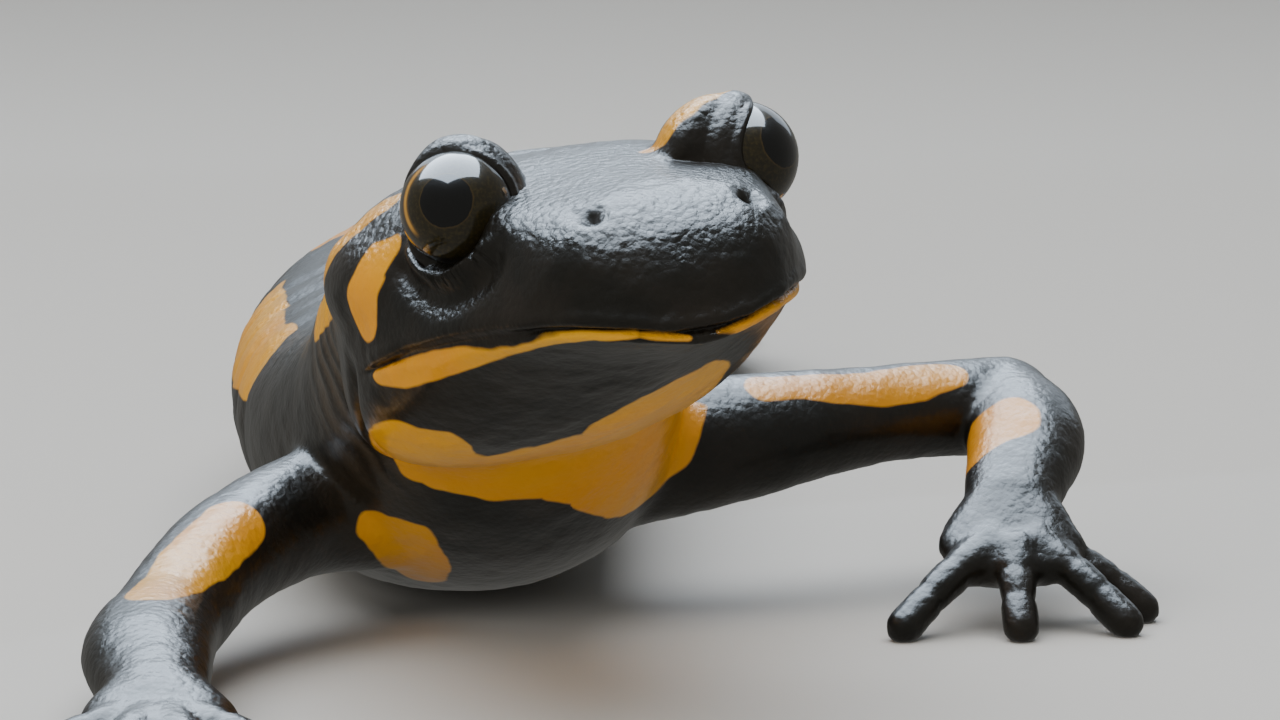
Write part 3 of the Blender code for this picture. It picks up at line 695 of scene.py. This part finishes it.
for side in (1, -1):
    spot = places * (1, side, 1) - EYE_PLACE
    reach = np.linalg.norm(spot, axis=1)
    ahead, rise = (math.radians(angle) for angle in LID_AIM[side])
    aim = np.array([math.sin(ahead) * math.cos(rise), math.cos(ahead) * math.cos(rise),
                    math.sin(rise)])
    level = np.cross(aim, (0, 0, 1))
    level /= np.linalg.norm(level)
    upward = np.cross(level, aim)
    ray = spot / reach[:, None]
    polar = np.degrees(np.arccos(np.clip(ray @ aim, -1, 1)))
    round_it = np.arctan2(ray @ upward, ray @ level)
    # From 0 in the lower lid to 1 in the upper, and with corners of their own
    top = ramp(np.sin(round_it), -0.35, 0.35)
    lid_edge = LID_BOTTOM[side] + (LID_TOP[side] - LID_BOTTOM[side]) * top
    corner = np.where(np.cos(round_it) > 0, LID_FRONT_CORNER, LID_REAR_CORNER)
    lid_edge += (corner - lid_edge) * np.abs(np.cos(round_it)) ** 3
    # How far out from the lid's edge each place lies, along the globe
    outside = np.radians(polar - lid_edge) * EYE_RADIUS
    roll_thick = LEDGE_THICK + (ROLL_THICK[side] - LEDGE_THICK) * top
    past_rear = ramp(np.cos(round_it), -1.0, -0.1)
    roll_thick = LID_REAR_THICK + (roll_thick - LID_REAR_THICK) * past_rear
    roll_start = ROLL_START * ramp(np.cos(round_it), 0.1, 0.75) * top
    roundness = np.sin(math.pi / 2 * np.clip((outside - roll_start) / ROLL_WIDTH, 0, 1))
    thick = LID_EDGE_THICK + (roll_thick - LID_EDGE_THICK) * roundness
    # The skin is held between a least and a most height over the globe
    fade = 1 - ramp(outside, 0.6, 2.4)
    lowest = EYE_RADIUS + thick * fade
    beyond = np.maximum(outside - roll_start - ROLL_WIDTH, 0)
    climb = 1.0 + 0.3 * top - LID_FRONT_HOLLOW[side] * ramp(np.cos(round_it), 0.1, 0.7)
    highest = EYE_RADIUS + thick + climb * beyond
    lid = eased_least(reach, highest, 0.2)
    lid = -eased_least(-lid, -lowest, 0.1)
    # Inside the edge it goes on within the globe, and far out it fades into the head's
    hidden = EYE_RADIUS - TUCK
    opening = ramp(outside, -0.16, 0.16)
    wanted = hidden + (lid - hidden) * opening
    below = ramp(-ray[:, 2], 0.35, 0.75)
    before = ramp(ray[:, 0], 0.3, 0.7) * (1 - ramp(-ray[:, 2], 0.5, 0.8))
    limit = EYE_RADIUS + LID_REACH - 0.5 * below + 0.8 * before
    blend = 1 - ramp(reach, limit, limit + 1.6 - 0.6 * below + 0.6 * before)
    reach_now = reach + (wanted - reach) * blend
    places = (EYE_PLACE + ray * reach_now[:, None]) * (1, side, 1)
points = from_head(places)

# The skin round the lids is drawn smooth, and the lids themselves a little.  Each pass has
# the distances from the eye's middle where it starts, is full, lessens and ends.
for span, rounds in (((3.1, 3.6, 5.4, 6.8), 36), ((1.0, 2.0, 3.4, 4.6), 3)):
    near_lids = np.zeros(len(points))
    for side in (np.ones(3), RIGHT):
        reach = apart(places, EYE_PLACE * side)
        near_lids = np.maximum(near_lids, ramp(reach, *span[:2]) * (1 - ramp(reach, *span[2:])))
    points = relaxed(points, edges, 0.45 * near_lids[:, None], rounds)
set_points(skin_mesh, points)

# Under each globe the lower lid stands out as a ledge, with a groove below it
LEDGE_RISE = {-1: 0.45, 1: 0.2}
LEDGE_GROOVE = 0.3
places = in_head(points)
amount = np.zeros(len(points))
for side in (1, -1):
    spot = places * (1, side, 1) - EYE_PLACE
    reach = np.linalg.norm(spot, axis=1) - EYE_RADIUS
    under = ramp(-spot[:, 2] / (reach + EYE_RADIUS), 0.3, 0.6) * ramp(spot[:, 1], -0.9, 0.2)
    amount += under * (LEDGE_RISE[side] * falloff(reach - 0.5, 0.34)
                       - LEDGE_GROOVE * falloff(reach - 1.4, 0.45))
points, places = pushed(amount)

# Nothing is under the floor
points[:, 2] = np.maximum(points[:, 2], 0.0)
set_points(skin_mesh, points)
facing = normals_of(skin_mesh)
places = in_head(points)


# ---------------------------------------------------------------------------------------
# The skin's markings.
# Warm yellow patches lie in the black skin, and no two animals have the same.  Each is a
# stroke of places with a half width, and how deep a point lies inside one is kept for the
# skin's material.
# ---------------------------------------------------------------------------------------
# Strokes of x, y, z and half width in the head's frame
HEAD_STROKES = (
    # Behind the right eye
    ((-11.8, -7.4, 4.1, 0.4), (-12.5, -7.9, 3.6, 0.95), (-12.9, -8.3, 2.8, 0.9),
     (-13.2, -8.4, 2.2, 1.0), (-13.3, -8.3, 1.5, 0.85)),
    # Over the left poison gland and on the left cheek
    ((-12.4, 6.6, 5.2, 0.9), (-14.6, 7.4, 4.9, 1.3), (-17.0, 7.2, 4.2, 1.1),
     (-19.0, 6.6, 3.6, 0.7)),
    ((-11.6, 8.0, 2.3, 0.5), (-12.6, 8.3, 1.3, 0.9), (-13.3, 8.4, 0.4, 0.6)),
    # Behind the left brow
    ((-9.2, 2.3, 6.2, 0.5), (-8.5, 2.7, 6.7, 0.75),
     (-8.2, 3.5, 7.4, 0.75), (-8.3, 4.6, 7.7, 0.6), (-8.7, 5.4, 7.7, 0.4)),
)
# The same along the lower lip
LIP_STROKES = (
    ((-13.0, -8.3, -0.5, 0.55), (-11.6, -7.9, -0.6, 0.66), (-9.9, -7.4, -0.5, 0.62),
     (-8.0, -6.6, -0.2, 0.55), (-6.4, -5.8, 0.0, 0.45), (-4.3, -5.0, 0.2, 0.34),
     (-1.6, -3.9, 0.3, 0.28), (-0.4, -2.5, 0.1, 0.22), (-0.1, -0.8, -0.4, 0.14)),
    ((-0.2, 0.4, -0.4, 0.05), (-0.5, 1.8, -0.4, 0.3), (-0.9, 3.0, -0.1, 0.42),
     (-1.9, 4.0, 0.1, 0.45), (-4.5, 5.6, 0.1, 0.4), (-9.0, 7.2, 0.0, 0.55)),
)
# Strokes of x, z and half width, across the front of the throat and the chest
FRONT_STROKES = (
    ((-11.5, 9.8, 1.4), (-10.6, 9.2, 2.0)),
    ((-10.0, 8.5, 1.6), (-8.2, 7.9, 1.5), (-6.4, 8.2, 1.8), (-4.9, 8.2, 2.3), (-3.3, 7.9, 3.0),
     (-2.4, 8.4, 2.7)),
    ((-2.8, 9.8, 1.9), (-1.2, 11.3, 1.5), (0.3, 12.9, 0.7)),
    ((-13.0, 4.8, 0.8), (-11.9, 3.9, 1.4), (-11.2, 2.8, 1.2)),
)
# Strokes of x, y, z and half width in the design, on the neck and the legs
BODY_STROKES = (
    ((-11.8, 11.6, 19.0, 0.6), (-13.0, 12.4, 18.2, 0.95), (-14.2, 13.4, 16.9, 1.0),
     (-14.8, 16.5, 15.2, 1.0), (-15.4, 21.0, 13.4, 0.9)),
    ((-20.9, 9.6, 4.5, 1.0), (-19.6, 14.2, 5.2, 1.55), (-18.3, 17.6, 5.9, 1.3)),
    ((2.6, 29.4, 9.3, 0.7), (4.2, 30.1, 9.4, 0.75), (5.8, 30.8, 9.2, 0.8),
     (7.5, 31.7, 9.1, 0.95), (9.2, 32.8, 9.2, 1.0), (10.6, 33.8, 9.2, 0.7)),
    ((10.4, 32.0, 5.4, 1.0), (11.4, 31.2, 6.6, 1.7), (12.8, 31.2, 7.6, 1.4)),
    ((-0.8, 86.6, 8.1, 1.2), (1.5, 90.0, 7.0, 1.0)),
    ((-14.6, 88.0, 8.0, 1.3), (-16.4, 91.6, 6.8, 0.9)),
    ((0.3, 101.6, 3.8, 0.7), (0.4, 103.2, 2.9, 0.8)),
    ((-16.6, 102.0, 4.0, 0.8), (-16.6, 103.8, 3.2, 0.7)),
)
# Rows along the back: side, start, end, slope from level in degrees, and half width
ROWS = ((-1, 36, 55, 24, 2.4), (-1, 61, 79, 52, 1.9), (-1, 86, 104, 50, 1.6),
        (-1, 112, 126, 50, 1.2), (-1, 133, 143, 50, 0.95), (-1, 150, 159, 50, 0.7),
        (1, 21, 33, 48, 1.5), (1, 39, 58, 52, 2.0), (1, 63, 69, 50, 1.6),
        (1, 76, 98, 52, 1.7), (1, 106, 119, 50, 1.2), (1, 126, 137, 50, 1.0),
        (1, 144, 152, 50, 0.8), (1, 47, 50, -8, 1.2), (-1, 66, 70, -4, 1.2),
        (1, 71, 73, 2, 0.9))


def inside(places, stroke):
    """How deep each place lies in a stroke, in millimetres."""
    stroke = np.array(stroke)
    nearest, share = along_path(places, stroke[:, :-1])
    lengths = np.linalg.norm(np.diff(stroke[:, :-1], axis=0), axis=1)
    marks = np.concatenate([[0], np.cumsum(lengths)]) / lengths.sum()
    return np.interp(share, marks, stroke[:, -1]) - nearest


# The edges are ragged, and the patches of the two rows are the more uneven
CHEST_END = 28.0
ragged = 0.16 * speckle(points, 1.9, 8) + 0.05 * speckle(points, 0.5, 9)
blotched = 0.75 * speckle(points, 3.4, 10)
yellow = np.full(len(points), -9.0)
for stroke in HEAD_STROKES:
    yellow = np.maximum(yellow, inside(places, stroke) + ragged)
for stroke in LIP_STROKES:
    yellow = np.maximum(yellow, np.minimum(inside(places, stroke) + 0.5 * ragged,
                                           -0.06 - over_mouth(places)))
# Those across the front stay on the throat and the chest, where they don't face the rear
to_front = np.minimum(CHEST_END - points[:, 1], 4 * (0.3 - facing[:, 1]))
for stroke in FRONT_STROKES:
    yellow = np.maximum(yellow, np.minimum(inside(points[:, (0, 2)], stroke) + ragged,
                                           to_front))
for stroke in BODY_STROKES:
    yellow = np.maximum(yellow, inside(points, stroke) + ragged)
for side, start, end, tilt, width in ROWS:
    if end - start > 2 * width:
        stations = np.linspace(start + width, end - width, 5)
    else:
        stations = np.linspace(start, end, 2)
    x, z, half, rise = (np.interp(stations, body[:, 1], body[:, n]) for n in (0, 2, 3, 4))
    tilt = math.radians(tilt)
    widths = width * np.interp(stations, (start, (start + end) / 2, end), (0.75, 1.0, 0.8))
    stroke = np.stack([x + side * half * math.cos(tilt), stations,
                       z + rise * math.sin(tilt), widths], 1)
    yellow = np.maximum(yellow, inside(points, stroke) + ragged + blotched)
# The skin of the neck's side is paler and browner between its wrinkles
neck_side = at_neck * ramp(-wave, -1.2, 0.8)
neck_side *= 1 - ramp(np.abs(places[:, 1]), 3, 5) * (places[:, 1] > 0)
# Its grains stand out most where it faces up
grain = 0.2 + (0.25 + 0.55 * near_head) * ramp(facing[:, 2], 0.2, 0.8)
for name, values in (("yellow", yellow), ("neck", neck_side), ("grain", grain)):
    kept = skin_mesh.attributes.new(name, "FLOAT", "POINT")
    kept.data.foreach_set("value", values.astype(np.float32))

set_points(skin_mesh, into_row_frame(points))
skin_mesh.shade_smooth()
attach(skin, "root")
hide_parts(*[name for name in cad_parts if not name.startswith("eye")])

# Black skin that is wet and finely granular, with the patches in it
BLACK = (0.0075, 0.0066, 0.0045)
BROWN = (0.016, 0.012, 0.008)
NECK_PALE = (0.060, 0.045, 0.030)
YELLOW = (0.76, 0.37, 0.0005)
ORANGE = (0.76, 0.31, 0.0005)
GRAIN_SIZE = 0.34
wet_skin = bpy.data.materials.new("skin")
wet_skin.use_nodes = True
nodes = wet_skin.node_tree.nodes
links = wet_skin.node_tree.links
surface = nodes["Principled BSDF"]


def node(kind, settings=(), **inputs):
    """A new node with its settings and its inputs, each a value or a socket to link.

    An input is named with _ for each space, or is _ and the socket's number.
    """
    made = nodes.new(kind)
    for name, value in dict(settings).items():
        setattr(made, name, value)
    for name, value in inputs.items():
        name = int(name[1:]) if name[1:].isdigit() else name.replace("_", " ")
        if isinstance(value, bpy.types.NodeSocket):
            links.new(value, made.inputs[name])
        else:
            made.inputs[name].default_value = value
    return made


def mixed(share, first, second):
    """A colour between two, each a colour or a socket."""
    made = nodes.new("ShaderNodeMix")
    made.data_type = "RGBA"
    for index, value in ((0, share), (6, first), (7, second)):
        if isinstance(value, bpy.types.NodeSocket):
            links.new(value, made.inputs[index])
        else:
            made.inputs[index].default_value = (*value, 1) if index else value
    return made.outputs[2]


def stepped(value, low, high):
    """A value brought to 0 at the low end and 1 at the high end."""
    return node("ShaderNodeMapRange", Value=value, From_Min=low, From_Max=high).outputs[0]


def noise(scale, detail):
    """Noise with lumps of a size in millimetres."""
    made = node("ShaderNodeTexNoise", Vector=where, Scale=1 / (scale * MM), Detail=detail)
    return made.outputs[0]


where = node("ShaderNodeTexCoord").outputs["Object"]
patch = node("ShaderNodeAttribute", {"attribute_name": "yellow"}).outputs["Fac"]
pale = node("ShaderNodeAttribute", {"attribute_name": "neck"}).outputs["Fac"]
dark = mixed(stepped(noise(3.0, 4.0), 0.4, 0.7), BLACK, BROWN)
dark = mixed(pale, dark, NECK_PALE)
warm = mixed(stepped(noise(9.0, 2.0), 0.35, 0.65), YELLOW, ORANGE)
colour = mixed(stepped(patch, -0.05, 0.06), dark, warm)
links.new(colour, surface.inputs["Base Color"])
grains = node("ShaderNodeTexVoronoi", Vector=where, Scale=1 / (GRAIN_SIZE * MM))
lumps = node("ShaderNodeMath", {"operation": "MULTIPLY_ADD"}, _0=grains.outputs["Distance"],
             _1=-1.0, _2=noise(0.2, 3.0))
how_grainy = node("ShaderNodeAttribute", {"attribute_name": "grain"}).outputs["Fac"]
lumps = node("ShaderNodeMath", {"operation": "MULTIPLY"}, _0=lumps.outputs[0], _1=how_grainy)
bump = node("ShaderNodeBump", Strength=0.8, Distance=0.09 * MM, Height=lumps.outputs[0])
links.new(bump.outputs[0], surface.inputs["Normal"])
surface.inputs["Roughness"].default_value = 0.34
surface.inputs["Specular IOR Level"].default_value = 0.4
surface.inputs["Coat Weight"].default_value = 0.12
surface.inputs["Coat Roughness"].default_value = 0.15
skin_mesh.materials.append(wet_skin)


# ---------------------------------------------------------------------------------------
# Eyes.
# Large, round and wet, set at the sides of the head and turned well ahead.  Each is one
# globe with a low bulge of cornea over a black pupil and a dark iris, with a painted gold
# gleam in an arc at the iris's outer edge, on its outer side only.
# ---------------------------------------------------------------------------------------
PUPIL_AIM = (60.0, 12.0)       # degrees ahead of straight out, and up
CORNEA_BULGE = 0.015
GOLD_GLEAM_AIM = np.array([0.16, 0.93, 0.33])     # the way to the painted gold gleam on the iris's edge
PUPIL_EDGE = 27.0              # degrees from the middle of the pupil
RING_WIDTH = 1.0
RIM_EDGE = (65.0, 71.0)
GOLD_GLEAM_STARTS = (47.0, 50.0)
GOLD_GLEAM_ENDS = (53.0, 57.0)
PUPIL = (0.001, 0.001, 0.001)
PUPIL_RING = (0.040, 0.026, 0.006)
IRIS = (0.013, 0.010, 0.003)
IRIS_FLECKS = (0.034, 0.025, 0.006)
IRIS_GOLD_GLEAM = (0.50, 0.25, 0.03)
RIM = (0.004, 0.003, 0.002)

# A black pupil with a thin brown ring, a dark flecked iris with a painted gold gleam on one
# side, and a black rim, all wet.  The nodes that follow are made in this material.
wet_eye = bpy.data.materials.new("wet_eye")
wet_eye.use_nodes = True
nodes = wet_eye.node_tree.nodes
links = wet_eye.node_tree.links
where = node("ShaderNodeTexCoord").outputs["Object"]
off_axis = node("ShaderNodeAttribute", {"attribute_name": "off_axis"}).outputs["Fac"]
gold_gleam = node("ShaderNodeAttribute", {"attribute_name": "gleam"}).outputs["Fac"]
uneven = node("ShaderNodeMath", {"operation": "MULTIPLY_ADD"}, _0=noise(0.35, 3.0), _1=3.0,
              _2=off_axis).outputs[0]
iris = mixed(stepped(noise(0.12, 4.0), 0.45, 0.75), IRIS, IRIS_FLECKS)
# The iris's gold is a painted gleam, laid only where the gleam attribute is set
iris = mixed(gold_gleam, iris, IRIS_GOLD_GLEAM)
colour = mixed(stepped(uneven, PUPIL_EDGE + RING_WIDTH + 1.2, PUPIL_EDGE + RING_WIDTH + 2.6),
               PUPIL_RING, iris)
colour = mixed(stepped(uneven, PUPIL_EDGE + 1.0, PUPIL_EDGE + 2.0), PUPIL, colour)
colour = mixed(stepped(off_axis, *RIM_EDGE), colour, RIM)
surface = nodes["Principled BSDF"]
links.new(colour, surface.inputs["Base Color"])
surface.inputs["Roughness"].default_value = 0.3
surface.inputs["Specular IOR Level"].default_value = 0.1
surface.inputs["Coat Weight"].default_value = 1.0
surface.inputs["Coat Roughness"].default_value = 0.06
surface.inputs["Coat IOR"].default_value = 1.55

for name, side in (("right", -1), ("left", 1)):
    globe_mesh = bpy.data.meshes.new("globe_" + name)
    shell = bmesh.new()
    bmesh.ops.create_uvsphere(shell, u_segments=96, v_segments=64, radius=1)
    shell.to_mesh(globe_mesh)
    shell.free()
    unit = points_of(globe_mesh)
    polar = np.degrees(np.arccos(np.clip(unit[:, 2], -1, 1)))
    unit *= (1 + CORNEA_BULGE * (1 - ramp(polar, 10, 55)))[:, None] * (1 - CORNEA_BULGE / 2)
    ahead, rise = (math.radians(angle) for angle in PUPIL_AIM)
    aim = Vector((math.sin(ahead) * math.cos(rise), side * math.cos(ahead) * math.cos(rise),
                  math.sin(rise)))
    turn = np.array(aim.to_track_quat("Z", "Y").to_matrix())
    centre = EYE_PLACE * (1, side, 1)
    set_points(globe_mesh, into_row_frame(from_head(unit @ turn.T * EYE_RADIUS + centre)))
    # A painted gold gleam, only on the iris's edge towards its aim
    gleam = ramp(unit @ turn.T @ (GOLD_GLEAM_AIM * (1, side, 1)), 0.72, 0.9)
    gleam *= ramp(polar, *GOLD_GLEAM_STARTS) * (1 - ramp(polar, *GOLD_GLEAM_ENDS))
    for label, values in (("off_axis", polar), ("gleam", gleam)):
        kept = globe_mesh.attributes.new(label, "FLOAT", "POINT")
        kept.data.foreach_set("value", values.astype(np.float32))
    globe_mesh.shade_smooth()
    globe = bpy.data.objects.new("globe_" + name, globe_mesh)
    bpy.context.scene.collection.objects.link(globe)
    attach(globe, "root")
    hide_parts("eye_" + name)
    globe_mesh.materials.append(wet_eye)


# ---------------------------------------------------------------------------------------
# Camera, floor and light.
# A long lens close in front of the animal and a little above it, a plain matt floor, and
# large soft panels.  Two of them light the animal, and two are mirrored in its wet skin and
# eyes, as a sky would be.
# ---------------------------------------------------------------------------------------
CAMERA_PLACE = (-2.43, -198.0, 44.46)
CAMERA_TILT = 8.5              # degrees down from level
camera_data = bpy.data.cameras.new("camera")
camera_data.lens = 157.5
camera_data.sensor_width = 36
camera_data.clip_start = 0.001
camera = bpy.data.objects.new("camera", camera_data)
camera.location = into_row_frame(CAMERA_PLACE)
camera.rotation_euler = (math.radians(90 - CAMERA_TILT), 0, 0)
bpy.context.scene.collection.objects.link(camera)
bpy.context.scene.camera = camera

floor_mesh = bpy.data.meshes.new("floor")
sheet = bmesh.new()
bmesh.ops.create_grid(sheet, x_segments=1, y_segments=1, size=3)
sheet.to_mesh(floor_mesh)
sheet.free()
floor = bpy.data.objects.new("floor", floor_mesh)
bpy.context.scene.collection.objects.link(floor)

matt = bpy.data.materials.new("floor")
matt.use_nodes = True
surface = matt.node_tree.nodes["Principled BSDF"]
surface.inputs["Base Color"].default_value = (0.66, 0.65, 0.63, 1)
surface.inputs["Roughness"].default_value = 0.7
surface.inputs["Specular IOR Level"].default_value = 0.1
floor_mesh.materials.append(matt)
floor.visible_glossy = False

world = bpy.data.worlds.new("world")
bpy.context.scene.world = world
world.use_nodes = True
around = world.node_tree.nodes["Background"]
around.inputs["Color"].default_value = (0.93, 0.92, 0.86, 1)
around.inputs["Strength"].default_value = 0.24

HEAD_AT = tuple(into_row_frame(MOUTH_TIP))
HEAD_Y = HEAD_AT[1]
WARM = (1.0, 0.98, 0.95)
WARMER = (1.0, 0.96, 0.9)
SKY = (0.72, 0.85, 1.0)
# Each panel's place, width and height in metres, power in watts, colour and use
PANELS = {
    "overhead": ((-0.05, HEAD_Y, 0.38), 0.42, 0.55, 1.8, WARM, "lighting"),
    "front": ((-0.35, HEAD_Y - 0.6, 0.30), 0.5, 0.4, 2.4, WARMER, "lighting"),
    "sky": ((-0.05, HEAD_Y + 0.10, 0.36), 0.5, 0.55, 12.5, SKY, "mirrored"),
    "behind": ((0.1, HEAD_Y + 0.85, 0.44), 1.2, 0.5, 3.0, SKY, "mirrored"),
}
for name, (place, width, height, watts, colour, use) in PANELS.items():
    data = bpy.data.lights.new(name, "AREA")
    data.shape = "RECTANGLE"
    data.size = width
    data.size_y = height
    data.energy = watts
    data.color = colour
    panel = bpy.data.objects.new(name, data)
    panel.location = place
    towards = Vector(HEAD_AT) - Vector(place)
    panel.rotation_euler = towards.to_track_quat("-Z", "Y").to_euler()
    panel.visible_glossy = use == "mirrored"
    panel.visible_diffuse = use == "lighting"
    bpy.context.scene.collection.objects.link(panel)
